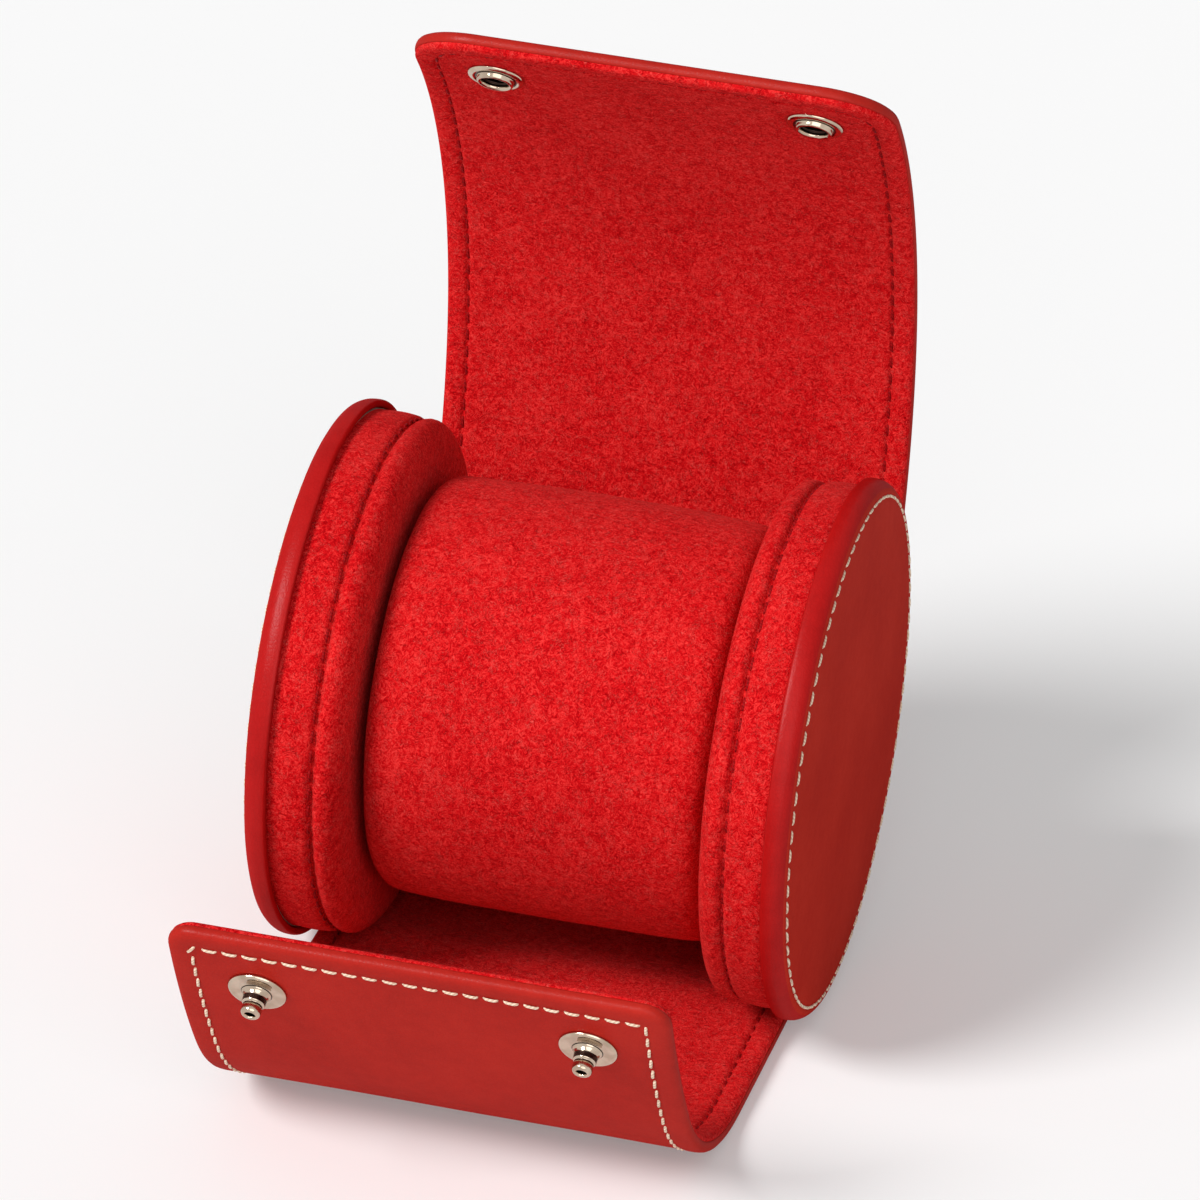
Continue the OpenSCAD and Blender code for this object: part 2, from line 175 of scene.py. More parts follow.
class Shader:
    """A small helper that adds nodes to a material or world and links them."""

    def __init__(self, owner):
        owner.use_nodes = True
        self.tree = owner.node_tree
        self.tree.nodes.clear()

    def fill(self, node, inputs):
        """Links the inputs that are sockets, and sets the others as plain values."""
        for key, value in inputs.items():
            if isinstance(value, bpy.types.NodeSocket):
                self.tree.links.new(value, node.inputs[key])
            else:
                node.inputs[key].default_value = value

    def add(self, kind, inputs=None, **settings):
        node = self.tree.nodes.new(kind)
        for name, value in settings.items():
            setattr(node, name, value)
        self.fill(node, inputs or {})
        return node

    def math(self, operation, *values):
        return self.add("ShaderNodeMath", dict(enumerate(values)), operation=operation).outputs[0]

    def noise(self, place, scale, detail=2.0, roughness=0.5, distortion=0.0):
        inputs = {"Vector": place, "Scale": scale, "Detail": detail, "Roughness": roughness,
                  "Distortion": distortion}
        return self.add("ShaderNodeTexNoise", inputs).outputs["Fac"]

    def spread(self, value, low, high, to_low=0.0, to_high=1.0):
        """The value with low to high stretched over to_low to to_high, and held there."""
        inputs = {"Value": value, "From Min": low, "From Max": high, "To Min": to_low,
                  "To Max": to_high}
        return self.add("ShaderNodeMapRange", inputs).outputs["Result"]

    def mix(self, share, first, second):
        """A colour between two. The node's colour inputs are numbers 6 and 7."""
        node = self.add("ShaderNodeMix", data_type="RGBA")
        self.fill(node, {0: share, 6: first, 7: second})
        return node.outputs[2]

    def bump(self, height, strength, depth):
        inputs = {"Height": height, "Strength": strength, "Distance": depth * MM}
        return self.add("ShaderNodeBump", inputs).outputs[0]

    def principled(self, **inputs):
        """The surface, with its inputs named in plain words with underscores."""
        named = {key.replace("_", " "): value for key, value in inputs.items()}
        surface = self.add("ShaderNodeBsdfPrincipled", named)
        self.finish(surface.outputs[0])

    def finish(self, surface, kind="ShaderNodeOutputMaterial"):
        self.add(kind, {"Surface": surface})


def new_material(name):
    """A material, its shader helper, and where a point lies on its piece before anything moves."""
    material = bpy.data.materials.new(name)
    shader = Shader(material)
    place = shader.add("ShaderNodeAttribute", attribute_name="grain").outputs["Vector"]
    return material, shader, place


def seen_directly(shader):
    """1 for rays that show the stage to the camera, in gloss or through glass, else 0."""
    path = shader.add("ShaderNodeLightPath").outputs
    seen = shader.math("MAXIMUM", path["Is Camera Ray"], path["Is Glossy Ray"])
    return shader.math("MAXIMUM", seen, path["Is Transmission Ray"])


def make_world():
    """Even light from all sides, and plain white where the world is seen."""
    world = bpy.data.worlds.new("studio")
    bpy.context.scene.world = world
    shader = Shader(world)
    light = shader.add("ShaderNodeBackground", {"Color": (1, 1, 1, 1), "Strength": AMBIENT})
    white = shader.add("ShaderNodeBackground", {"Color": grey(WORLD_WHITE), "Strength": 1.0})
    both = shader.add("ShaderNodeMixShader", {
        0: seen_directly(shader), 1: light.outputs[0], 2: white.outputs[0]})
    shader.finish(both.outputs[0], "ShaderNodeOutputWorld")


def make_floor():
    """A matte white floor, which glows a little where it is seen."""
    material = bpy.data.materials.new("floor")
    shader = Shader(material)
    matte = shader.add("ShaderNodeBsdfDiffuse", {"Color": grey(FLOOR_WHITE)})
    glow = shader.add("ShaderNodeEmission", {"Color": grey(FLOOR_WHITE), "Strength": 1.0})
    share = shader.math("MULTIPLY", seen_directly(shader), FLOOR_GLOW)
    both = shader.add("ShaderNodeMixShader", {0: share, 1: matte.outputs[0], 2: glow.outputs[0]})
    shader.finish(both.outputs[0])

    reach = FLOOR_REACH * MM
    corners = [(-reach, -reach, 0), (reach, -reach, 0), (reach, reach, 0), (-reach, reach, 0)]
    mesh = bpy.data.meshes.new("floor")
    mesh.from_pydata(corners, [], [(0, 1, 2, 3)])
    mesh.materials.append(material)
    floor = bpy.data.objects.new("floor", mesh)
    floor.location.z = -FLOOR_GAP * MM
    bpy.context.collection.objects.link(floor)


# ---------------------------------------------------------------- materials

FIBRE_HIGHLIGHT = (1.0, 0.22, 0.18, 1)
SUEDE_SHEEN = (1.0, 0.25, 0.22, 1)


def suede_material(name, base, dark, light):
    """Brushed suede: a fine curly nap, a little mottled, with painted highlights on a few loose
    fibres.
    """
    material, shader, place = new_material(name)
    patches = shader.noise(place, scale=0.06)
    nap = shader.noise(place, scale=0.5, roughness=0.55, distortion=2.0)
    fibres = shader.noise(place, scale=1.15, roughness=0.6, distortion=3.2)
    tone = shader.math("ADD", shader.spread(patches, 0.3, 0.7, 0.0, 0.14),
                       shader.spread(nap, 0.34, 0.66, 0.0, 0.36))
    tone = shader.math("ADD", tone, shader.spread(fibres, 0.36, 0.64, 0.0, 0.7))
    colour = shader.mix(shader.spread(tone, 0.1, 0.55), dark, base)
    colour = shader.mix(shader.spread(tone, 0.55, 1.1), colour, light)

    curl = shader.noise(place, scale=0.95, detail=1.0, distortion=3.0)
    strand = shader.math("ABSOLUTE", shader.math("SUBTRACT", curl, 0.5))
    strand = shader.spread(strand, 0.035, 0.01)
    loose = shader.spread(shader.noise(place, scale=0.7, roughness=0.6), 0.5, 0.58)
    strand = shader.math("MULTIPLY", strand, loose)
    # Pale specks on a few loose fibres: painted highlights
    fibre_highlight = tuple(0.5 * own + 0.5 * tip for own, tip in zip(light, FIBRE_HIGHLIGHT))
    colour = shader.mix(shader.math("MULTIPLY", strand, 0.45), colour, fibre_highlight)

    height = shader.math("ADD", shader.math("MULTIPLY", fibres, 0.9),
                         shader.math("MULTIPLY", nap, 0.6))
    height = shader.math("ADD", height, shader.math("MULTIPLY", strand, 0.3))
    shader.principled(Base_Color=colour, Roughness=0.95, Specular_IOR_Level=0.0,
                      Sheen_Weight=0.1, Sheen_Roughness=0.35, Sheen_Tint=SUEDE_SHEEN,
                      Normal=shader.bump(height, strength=0.65, depth=0.4))
    return material


def leather_material(name, base, dark, light, gloss):
    """Smooth full-grain leather: fine pores, a satin finish and slow shifts of tone."""
    material, shader, place = new_material(name)
    clouds = shader.noise(place, scale=0.05, detail=3.0)
    cells = shader.add("ShaderNodeTexVoronoi", {
        "Vector": place, "Scale": 1.35, "Randomness": 1.0},
        feature="DISTANCE_TO_EDGE").outputs["Distance"]
    creases = shader.spread(cells, 0.0, 0.22)
    pores = shader.noise(place, scale=3.2, detail=3.0, roughness=0.6)
    broad = shader.noise(place, scale=0.5, detail=3.0, roughness=0.55)
    tone = shader.math("ADD", shader.spread(clouds, 0.3, 0.7, 0.0, 0.5),
                       shader.spread(broad, 0.3, 0.7, 0.0, 0.25))
    tone = shader.math("ADD", tone, shader.math("MULTIPLY", creases, 0.15))
    colour = shader.mix(shader.spread(tone, 0.1, 0.5), dark, base)
    colour = shader.mix(shader.spread(tone, 0.5, 1.0), colour, light)
    height = shader.math("ADD", shader.math("MULTIPLY", creases, 0.5),
                         shader.math("MULTIPLY", pores, 0.5))
    relief = shader.bump(height, strength=0.22, depth=0.12)
    shader.principled(Base_Color=colour, Roughness=0.7, Specular_IOR_Level=0.0,
                      Coat_Weight=gloss, Coat_Roughness=0.36, Coat_IOR=2.2,
                      Normal=relief, Coat_Normal=relief)
    return material


def thread_material(name, base, dark):
    """Waxed thread, its plies shown by fine slanting bands."""
    material, shader, place = new_material(name)
    plies = shader.add("ShaderNodeTexWave", {
        "Vector": place, "Scale": 0.9, "Distortion": 1.5, "Detail": 2.0},
        bands_direction="DIAGONAL").outputs["Fac"]
    wear = shader.noise(place, scale=0.6, detail=3.0)
    tone = shader.math("ADD", shader.math("MULTIPLY", plies, 0.55),
                       shader.math("MULTIPLY", wear, 0.6))
    colour = shader.mix(shader.spread(tone, 0.2, 0.8), dark, base)
    shader.principled(Base_Color=colour, Roughness=0.6, Specular_IOR_Level=0.1,
                      Normal=shader.bump(plies, strength=0.5, depth=0.08))
    return material


def metal_material(name, base, dark, smooth, rough):
    """Plated metal with faint handling marks. smooth and rough bound its roughness."""
    material, shader, place = new_material(name)
    marks = shader.noise(place, scale=0.45, distortion=0.4)
    colour = shader.mix(shader.spread(marks, 0.35, 0.65), dark, base)
    shader.principled(Base_Color=colour, Metallic=1.0,
                      Roughness=shader.spread(marks, 0.3, 0.7, smooth, rough))
    return material


def fibre_material(name, base, dark, scale):
    """Card or foam inside the roll, told apart by how fine its speckle is. scale is per metre."""
    material = bpy.data.materials.new(name)
    shader = Shader(material)
    place = shader.add("ShaderNodeTexCoord").outputs["Object"]
    speckle = shader.noise(place, scale=scale, detail=4.0, roughness=0.6)
    colour = shader.mix(shader.spread(speckle, 0.35, 0.65), dark, base)
    shader.principled(Base_Color=colour, Roughness=0.9,
                      Normal=shader.bump(speckle, strength=0.3, depth=0.1))
    return material


def make_materials():
    """The roll's materials by name. Their colours go base, dark, light."""
    return {
        "suede": suede_material(
            "suede", rgb(203, 18, 23), rgb(158, 6, 12), rgb(231, 57, 54)),
        "leather": leather_material(
            "leather", rgb(168, 29, 19), rgb(156, 24, 15), rgb(178, 36, 24), gloss=0.09),
        # A lighter copy of the wrap's leather, painted light on the caps' faces
        "cap_leather": leather_material(
            "cap_leather", rgb(177, 39, 26), rgb(168, 33, 22), rgb(187, 46, 32), gloss=0.04),
        # A darker copy of the caps' leather, painted as shade on their turned rims
        "shaded_rim_leather": leather_material(
            "shaded_rim_leather", rgb(168, 17, 17), rgb(156, 13, 13), rgb(178, 23, 21), gloss=0.07),
        "pale_thread": thread_material("pale_thread", rgb(238, 218, 194), rgb(196, 166, 140)),
        "red_thread": thread_material("red_thread", rgb(156, 8, 13), rgb(116, 3, 7)),
        "nickel": metal_material(
            "nickel", rgb(202, 184, 164), rgb(180, 160, 140), smooth=0.08, rough=0.16),
        # Dark metal, painted as shade on the fittings' grooves, necks and holes
        "painted_shade_nickel": metal_material(
            "painted_shade_nickel", rgb(74, 58, 50), rgb(44, 34, 30), smooth=0.25, rough=0.4),
    }


# ---------------------------------------------------------------- meshes

WOBBLE_WAVES = 7
PROFILE_STEPS = 4


def wobble(across, along, wavelength, seed):
    """A smooth uneven value, mostly between -1 and 1, for places given in millimetres."""
    rng = np.random.default_rng(seed)
    total = 0
    for _ in range(WOBBLE_WAVES):
        heading, phase = rng.uniform(0, 2 * PI, 2)
        pace = 2 * PI / (wavelength * rng.uniform(0.7, 1.6))
        total = total + np.sin((across * math.cos(heading) + along * math.sin(heading)) * pace
                               + phase)
    return total / math.sqrt(WOBBLE_WAVES)


def bell(value, centre, width):
    """1 at the centre, and almost 0 from twice the width away."""
    return np.exp(-((value - centre) / width) ** 2)


def make_mesh(name, points, faces, material, grain):
    """A smooth mesh object from points in millimetres, with its rest places as grain."""
    mesh = bpy.data.meshes.new(name)
    mesh.from_pydata((np.asarray(points) * MM).reshape(-1, 3).tolist(), [], faces)
    attribute = mesh.attributes.new("grain", "FLOAT_VECTOR", "POINT")
    attribute.data.foreach_set("vector", np.asarray(grain, np.float32).ravel())
    mesh.polygons.foreach_set("use_smooth", [True] * len(mesh.polygons))
    mesh.materials.append(material)
    mesh.update()
    obj = bpy.data.objects.new(name, mesh)
    bpy.context.collection.objects.link(obj)
    return obj


def grid_faces(rows, columns, closed=False, flip=False):
    """The four-sided faces of a grid of points, row after row."""
    faces = []
    for i in range(rows - 1):
        for j in range(columns if closed else columns - 1):
            k = (j + 1) % columns
            face = (i * columns + j, i * columns + k, (i + 1) * columns + k,
                    (i + 1) * columns + j)
            faces.append(face[::-1] if flip else face)
    return faces


def smooth_profile(points, steps):
    """A Catmull-Rom curve through the points, with steps lines between each two."""
    points = np.asarray(points, float)
    padded = np.vstack([2 * points[0] - points[1], points, 2 * points[-1] - points[-2]])
    out = [points[0]]
    for i in range(len(points) - 1):
        a, b, c, d = padded[i:i + 4]
        for t in np.linspace(0, 1, steps + 1)[1:]:
            out.append(0.5 * (2 * b + (c - a) * t + (2 * a - 5 * b + 4 * c - d) * t ** 2
                              + (3 * b - a - 3 * c + d) * t ** 3))
    return np.array(out)


def paint_stretches(obj, material, stretches, segments, steps):
    """Gives a turned piece a second material on the numbered stretches of its profile."""
    obj.data.materials.append(material)
    for number, polygon in enumerate(obj.data.polygons):
        polygon.material_index = int(number // segments // steps in stretches)


# ---------------------------------------------------------------- the wrap's path

ARC_STEP = 0.4            # longest line along an arc
FOOT_POINTS = 21          # of the line from the flap's first fold to the glued stretch
FLAT_POINTS = 30          # of each flat length
SOFTEN = 5                # points to each side over which the path's direction is averaged


def arc_line(centre, radius, start, end):
    """Points along an arc in the YZ plane, its angles in degrees."""
    count = max(2, math.ceil(radius * math.radians(end - start) / ARC_STEP))
    angles = np.radians(np.linspace(start, end, count + 1))
    return np.stack([centre[0] + radius * np.cos(angles),
                     centre[1] + radius * np.sin(angles)], -1)


def foot_line(start, end, end_direction):
    """A smooth line that leaves the start level and reaches the end in its direction."""
    t = np.linspace(0, 1, FOOT_POINTS)[:, None]
    reach = np.linalg.norm(end - start)
    leave = np.array([reach, 0])
    arrive = reach * end_direction
    return ((2 * t ** 3 - 3 * t ** 2 + 1) * start + (t ** 3 - 2 * t ** 2 + t) * leave
            + (3 * t ** 2 - 2 * t ** 3) * end + (t ** 3 - t ** 2) * arrive)


def flap_stretches():
    """The flap's five stretches, from its free edge: the lip, two curled and two flat ones."""
    lip_r = LIP_LENGTH / math.radians(LIP_ANGLE)
    curl_r = FLAP_CURL / math.radians(CURL_ANGLE)
    curl_centre = np.array([-FLAP_ROOT - 2 * FLAP_FLAT, WRAP_T + curl_r])
    curl_end = -90 - 2 * CURL_ANGLE
    turn = math.radians(curl_end)
    lip_centre = curl_centre - (lip_r - curl_r) * np.array([math.cos(turn), math.sin(turn)])
    stretches = [arc_line(lip_centre, lip_r, curl_end - LIP_ANGLE, curl_end)]
    for i in (2, 1):
        stretches.append(arc_line(curl_centre, curl_r, -90 - i * CURL_ANGLE,
                                  -90 - (i - 1) * CURL_ANGLE))
    for i in (2, 1):
        y = np.linspace(-FLAP_ROOT - i * FLAP_FLAT, -FLAP_ROOT - (i - 1) * FLAP_FLAT, FLAT_POINTS)
        stretches.append(np.stack([y, np.full_like(y, WRAP_T)], -1))
    return stretches


def roll_and_lid_stretches():
    """The stretch that is fixed to the roll, then the lid's five."""
    ring = arc_line((0, AXIS_Z), WRAP_R, -90 - FOOT_ANGLE, -LID_LEAVE)
    slope = math.radians(FOOT_ANGLE)
    foot = foot_line(np.array([-FLAP_ROOT, WRAP_T]), ring[0],
                     np.array([math.cos(slope), -math.sin(slope)]))
    shift = LID_BOW_R - WRAP_R
    leave = math.radians(LID_LEAVE)
    lid_centre = (-shift * math.cos(leave), AXIS_Z + shift * math.sin(leave))
    angle = math.degrees(LID_ROOT / LID_BOW_R) - LID_LEAVE
    root = arc_line(lid_centre, LID_BOW_R, -LID_LEAVE, angle)
    stretches = [np.vstack([foot, ring[1:], root[1:]])]
    for length in LID_LENGTHS:
        further = angle + math.degrees(length / LID_BOW_R)
        stretches.append(arc_line(lid_centre, LID_BOW_R, angle, further))
        angle = further
    return stretches


def soften(values):
    padded = np.pad(values, SOFTEN, mode="edge")
    return np.convolve(padded, np.ones(2 * SOFTEN + 1) / (2 * SOFTEN + 1), "valid")


class Path:
    """The line of the lining's face, by the distance s along it."""

    def __init__(self, stretches):
        line = [stretches[0]]
        ends = []
        for stretch in stretches[1:]:
            ends.append(sum(len(part) for part in line) - 1)
            line.append(stretch[1:])
        self.line = np.vstack(line)
        steps = np.linalg.norm(np.diff(self.line, axis=0), axis=1)
        self.s = np.concatenate([[0], np.cumsum(steps)])
        self.length = self.s[-1]
        self.folds = [self.s[i] for i in ends]
        tangent = np.gradient(self.line, self.s, axis=0)
        tangent = np.stack([soften(tangent[:, k]) for k in (0, 1)], -1)
        tangent /= np.linalg.norm(tangent, axis=1)[:, None]
        self.out = np.stack([tangent[:, 1], -tangent[:, 0]], -1)

    def place(self, x, s, depth):
        """Points in the part's frame, in millimetres. What would lie below the floor is flat."""
        x, s, depth = np.broadcast_arrays(*(np.asarray(v, float) for v in (x, s, depth)))
        y, z, out_y, out_z = (np.interp(s, self.s, values) for values in (
            self.line[:, 0], self.line[:, 1], self.out[:, 0], self.out[:, 1]))
        return np.stack([x, y + depth * out_y, np.maximum(z + depth * out_z, 0)], -1)


PATH = Path(flap_stretches() + roll_and_lid_stretches())
BODIES = ["flap_5", "flap_4", "flap_3", "flap_2", "flap_1", "roll",
          "lid_1", "lid_2", "lid_3", "lid_4", "lid_5"]
ROLL = BODIES.index("roll")
ROLL_MARGIN = 15          # of the fixed stretch, beside each fold, that joins the next piece


def wrap_cuts():
    """Where one piece of the wrap ends and the next begins, midway between two folds."""
    cuts = [0]
    for first, second in zip(PATH.folds[:-1], PATH.folds[1:]):
        if len(cuts) == ROLL:
            cuts += [first + ROLL_MARGIN, second - ROLL_MARGIN]
        else:
            cuts.append((first + second) / 2)
    return cuts + [PATH.length]


CUTS = wrap_cuts()


def hang(obj, index):
    """Attaches the roll's piece of the wrap to the roll's body; the other pieces keep their points
    where they are.
    """
    if index == ROLL:
        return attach(obj, "roll")
    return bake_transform(obj)


# ---------------------------------------------------------------- the wrap's panels

STITCH_INSET = 3.6        # from the wrap's outline to its row of stitches
BLOCK = 12                # side of the square of mesh that a round corner takes up
CORNER_SHARE = 0.33       # least radius of a loop's corner, as a share of its block
COLUMN = 1.6
ROW = 1.0

# Loops round a panel from its hidden start inwards, as (distance from the outline, depth)
LEATHER_RIM = [(1.0, 1.5), (0.75, 1.15), (0.5, 0.98), (0.28, 0.92), (0.12, 0.98), (0.03, 1.2),
               (0.0, 1.5), (0.02, 1.8), (0.12, 2.15), (0.34, 2.45), (0.68, 2.63), (1.1, 2.7)]
SUEDE_RIM = [(0.6, 1.35), (0.36, 1.1), (0.22, 0.8), (0.24, 0.45), (0.46, 0.12), (0.85, -0.08),
             (1.4, -0.17)]

# Further loops, close together at the stitches, as distances from the outline
LEATHER_LOOPS = [1.65, 2.2, 2.7, 3.05, 3.3, 3.5, 3.7, 3.9, 4.15, 4.5, 5.1, 6.0, 7.2, 8.3, 9.5,
                 10.7]
SUEDE_LOOPS = [1.95, 2.5, 3.0, 3.2, 3.4, 3.55, 3.7, 3.9, 4.1, 4.4, 4.8, 5.4, 6.2, 7.2, 8.3, 9.5,
               10.7]


def edge_distance(x, s):
    """How far a point of the sheet lies inside the wrap's outline."""
    side = WRAP_HALF - np.abs(x)
    best = side
    for tip, radius in ((s, FLAP_CORNER_R), (PATH.length - s, LID_CORNER_R)):
        corner = radius - np.hypot(np.maximum(radius - side, 0), np.maximum(radius - tip, 0))
        inside = (side < radius) & (tip < radius)
        best = np.minimum(best, np.where(inside, corner, tip))
    return best


def leather_depth(x, s, inset):
    """The leather's outer face, full at its edge and drawn in by the stitches."""
    dimple = 0.16 * bell(inset, STITCH_INSET, 0.45)
    padding = 0.1 * bell(inset, 1.9, 0.9)
    return WRAP_T - 0.08 - dimple + padding + 0.04 * wobble(x, s, 26, 3)


def suede_depth(x, s, inset):
    """The lining's face, with a groove under the stitches and a swell to each side of it."""
    groove = 0.42 * bell(inset, STITCH_INSET, 0.34)
    outer = 0.2 * bell(inset, 2.1, 0.95)
    inner = 0.1 * bell(inset, 4.9, 1.1)
    return groove - outer - inner - 0.035 * wobble(x, s, 15, 5) - 0.015 * wobble(x, s, 5, 6)


# A layer's profile at the edge, its further loops, its face, and whether it is seen from outside
Layer = namedtuple("Layer", "rim loops depth_of outside")
LEATHER = Layer(LEATHER_RIM, LEATHER_LOOPS, leather_depth, True)
LINING = Layer(SUEDE_RIM, SUEDE_LOOPS, suede_depth, False)


def corner_point(inset, radius, share):
    """A point on a loop round a corner, as its distances from the side and from the tip."""
    radius = max(radius - inset, CORNER_SHARE * (BLOCK - inset))
    straight = BLOCK - inset - radius
    arc = PI / 2 * radius
    run = share * (2 * straight + arc)
    if run < straight:
        return inset, BLOCK - run
    if run > straight + arc:
        return BLOCK - (2 * straight + arc - run), inset
    angle = (run - straight) / radius
    return (inset + radius * (1 - math.cos(angle)), inset + radius * (1 - math.sin(angle)))


def sheet_columns(insets):
    """The x of each column of a panel's grid, and the loop that it belongs to."""
    half = WRAP_HALF - BLOCK
    middle = np.linspace(-half, half, round(2 * half / COLUMN) + 1)
    sides = WRAP_HALF - np.array(insets)
    across = np.concatenate([-sides, middle, sides[::-1]])
    number = np.arange(len(across))
    return across, np.minimum(np.minimum(number, number[::-1]), len(insets))


def tip_block(across, ring, insets, radius):
    """The rows at a free end, outermost first, as x, distance from the end, and loop."""
    loops = len(insets)
    x = np.tile(across, (loops, 1))
    tip = np.tile(np.array(insets)[:, None], (1, len(across)))
    for i in range(loops):
        for j in np.flatnonzero(ring < loops):
            own = min(i, ring[j])
            count = 2 * (loops - own)
            share = (loops - i) / count if ring[j] <= i else 1 - (loops - ring[j]) / count
            side, tip[i, j] = corner_point(insets[own], radius, share)
            x[i, j] = math.copysign(WRAP_HALF - side, across[j])
    return x, tip, np.minimum(np.arange(loops)[:, None], ring)


def panel_grid(start, end, insets):
    """Sheet places (x, s) of a panel's grid and the loop that each belongs to."""
    across, ring = sheet_columns(insets)
    low = BLOCK if start == 0 else start
    high = end - BLOCK if end == PATH.length else end
    along = np.linspace(low, high, max(2, round((high - low) / ROW)) + 1)
    rows = (len(along), 1)
    blocks = [(np.tile(across, rows), np.tile(along[:, None], (1, len(across))),
               np.tile(ring, rows))]
    if start == 0:
        blocks.insert(0, tip_block(across, ring, insets, FLAP_CORNER_R))
    if end == PATH.length:
        x, tip, loop = tip_block(across, ring, insets, LID_CORNER_R)
        blocks.append((x[::-1], PATH.length - tip[::-1], loop[::-1]))
    return [np.vstack(part) for part in zip(*blocks)]


def without_holes(faces, x, s, holes):
    """The faces whose middle lies in none of the round holes, each (x, s, radius)."""
    x, s = x.ravel(), s.ravel()
    kept = []
    for face in faces:
        corners = list(face)
        middle = x[corners].mean(), s[corners].mean()
        if all(math.dist(middle, hole[:2]) >= hole[2] for hole in holes):
            kept.append(face)
    return kept


def make_panel(name, index, layer, material, holes):
    """One piece of the wrap's leather or lining."""
    insets = [inset for inset, _ in layer.rim] + layer.loops
    x, s, loop = panel_grid(CUTS[index], CUTS[index + 1], insets)
    depth = layer.depth_of(x, s, edge_distance(x, s))
    for number, (_, rim_depth) in enumerate(layer.rim):
        depth = np.where(loop == number, rim_depth, depth)
    faces = grid_faces(*x.shape, flip=layer.outside)
    if holes:
        faces = without_holes(faces, x, s, holes)
    obj = make_mesh(name, PATH.place(x, s, depth), faces, material, np.stack([x, s, depth], -1))
    return hang(obj, index)


# ---------------------------------------------------------------- stitches

STITCH_PITCH = 3.0
STITCH_SIDES = 8
STITCH_FLATNESS = 0.85
CORNER_STATIONS = 13      # points round each corner of the wrap's row
LEAST_CORNER_R = 0.4

# A stitch's cross-sections along its length: their place, girth and rise
STITCH_STATIONS = np.array([-0.5, -0.44, -0.3, -0.1, 0.1, 0.3, 0.44, 0.5])
STITCH_GIRTH = np.array([0.4, 0.8, 1.0, 1.0, 1.0, 1.0, 0.8, 0.4])
STITCH_RISE = np.array([-1.4, -0.45, 0.2, 0.35, 0.35, 0.2, -0.45, -1.4])

# A row's stitches: length, radius, depth in the sheet, the way they stand out, slant in degrees
Row = namedtuple("Row", "length radius depth outward slant")
OUTER_ROW = Row(2.4, 0.24, WRAP_T - 0.12, 1, 5)
INNER_ROW = Row(2.1, 0.2, 0.25, -1, 4)


def stitch_shape(length, radius, slant=0):
    """One stitch as (along, across, up) from its middle, and its faces."""
    rows = len(STITCH_STATIONS)
    turn = np.linspace(0, 2 * PI, STITCH_SIDES, endpoint=False)
    turns = np.tile(turn, rows)
    along = np.repeat(STITCH_STATIONS * length, STITCH_SIDES)
    girth = np.repeat(STITCH_GIRTH * radius, STITCH_SIDES)
    rise = np.repeat(STITCH_RISE * radius, STITCH_SIDES)
    across = girth * np.cos(turns) + along * math.tan(math.radians(slant))
    up = STITCH_FLATNESS * girth * np.sin(turns) + rise
    faces = grid_faces(rows, STITCH_SIDES, closed=True)
    faces.append(tuple(range(STITCH_SIDES))[::-1])
    faces.append(tuple((rows - 1) * STITCH_SIDES + k for k in range(STITCH_SIDES)))
    return np.stack([along, across, up], -1), faces


def repeat_faces(faces, size, count, flip):
    """The faces of count copies of a shape of size points."""
    copies = [tuple(v + k * size for v in face) for k in range(count) for face in faces]
    return [face[::-1] for face in copies] if flip else copies


def row_line():
    """The line of the wrap's row of stitches, once round and closed."""
    half = WRAP_HALF - STITCH_INSET
    low = STITCH_INSET
    high = PATH.length - STITCH_INSET
    flap_r = max(FLAP_CORNER_R - STITCH_INSET, LEAST_CORNER_R)
    lid_r = LID_CORNER_R - STITCH_INSET
    corners = [(half - flap_r, low + flap_r, flap_r, -90),
               (half - lid_r, high - lid_r, lid_r, 0),
               (-half + lid_r, high - lid_r, lid_r, 90),
               (-half + flap_r, low + flap_r, flap_r, 180)]
    line = []
    for x, s, radius, start in corners:
        for angle in np.radians(np.linspace(start, start + 90, CORNER_STATIONS)):
            line.append((x + radius * math.cos(angle), s + radius * math.sin(angle)))
    return np.array(line + line[:1])


def row_places():
    """Middle and direction of each stitch of the row that runs round the whole wrap."""
    line = row_line()
    run = np.concatenate([[0], np.cumsum(np.linalg.norm(np.diff(line, axis=0), axis=1))])
    count = round(run[-1] / STITCH_PITCH)
    pitch = run[-1] / count

    def point(distance):
        return np.stack([np.interp(distance % run[-1], run, line[:, k]) for k in (0, 1)], -1)

    at = (np.arange(count) + 0.5) * pitch
    ahead = point(at + 0.4 * pitch) - point(at - 0.4 * pitch)
    return point(at), ahead / np.linalg.norm(ahead, axis=1)[:, None]


def make_row(name, index, row, material):
    """The stitches of the wrap's row that lie on one of its pieces."""
    middles, ahead = row_places()
    inside = (middles[:, 1] >= CUTS[index]) & (middles[:, 1] < CUTS[index + 1])
    middles, ahead = middles[inside], ahead[inside]
    shape, faces = stitch_shape(row.length, row.radius, row.slant)
    side = np.stack([-ahead[:, 1], ahead[:, 0]], -1)
    sheet = (middles[:, None] + shape[None, :, :1] * ahead[:, None]
             + shape[None, :, 1:2] * side[:, None])
    x, s = sheet[..., 0], sheet[..., 1]
    depth = np.broadcast_to(row.depth + row.outward * shape[:, 2], x.shape)
    faces = repeat_faces(faces, len(shape), len(middles), flip=row.outward < 0)
    obj = make_mesh(name, PATH.place(x, s, depth), faces, material, np.stack([x, s, depth], -1))
    return hang(obj, index)


# ---------------------------------------------------------------- turned pieces

CAP_SEGMENTS = 256
PILLOW_SEGMENTS = 240
CAP_STITCHES = 82
PAD_STITCHES = 80
POINTS_PER_STITCH = 6     # of a pad's mesh round its seam

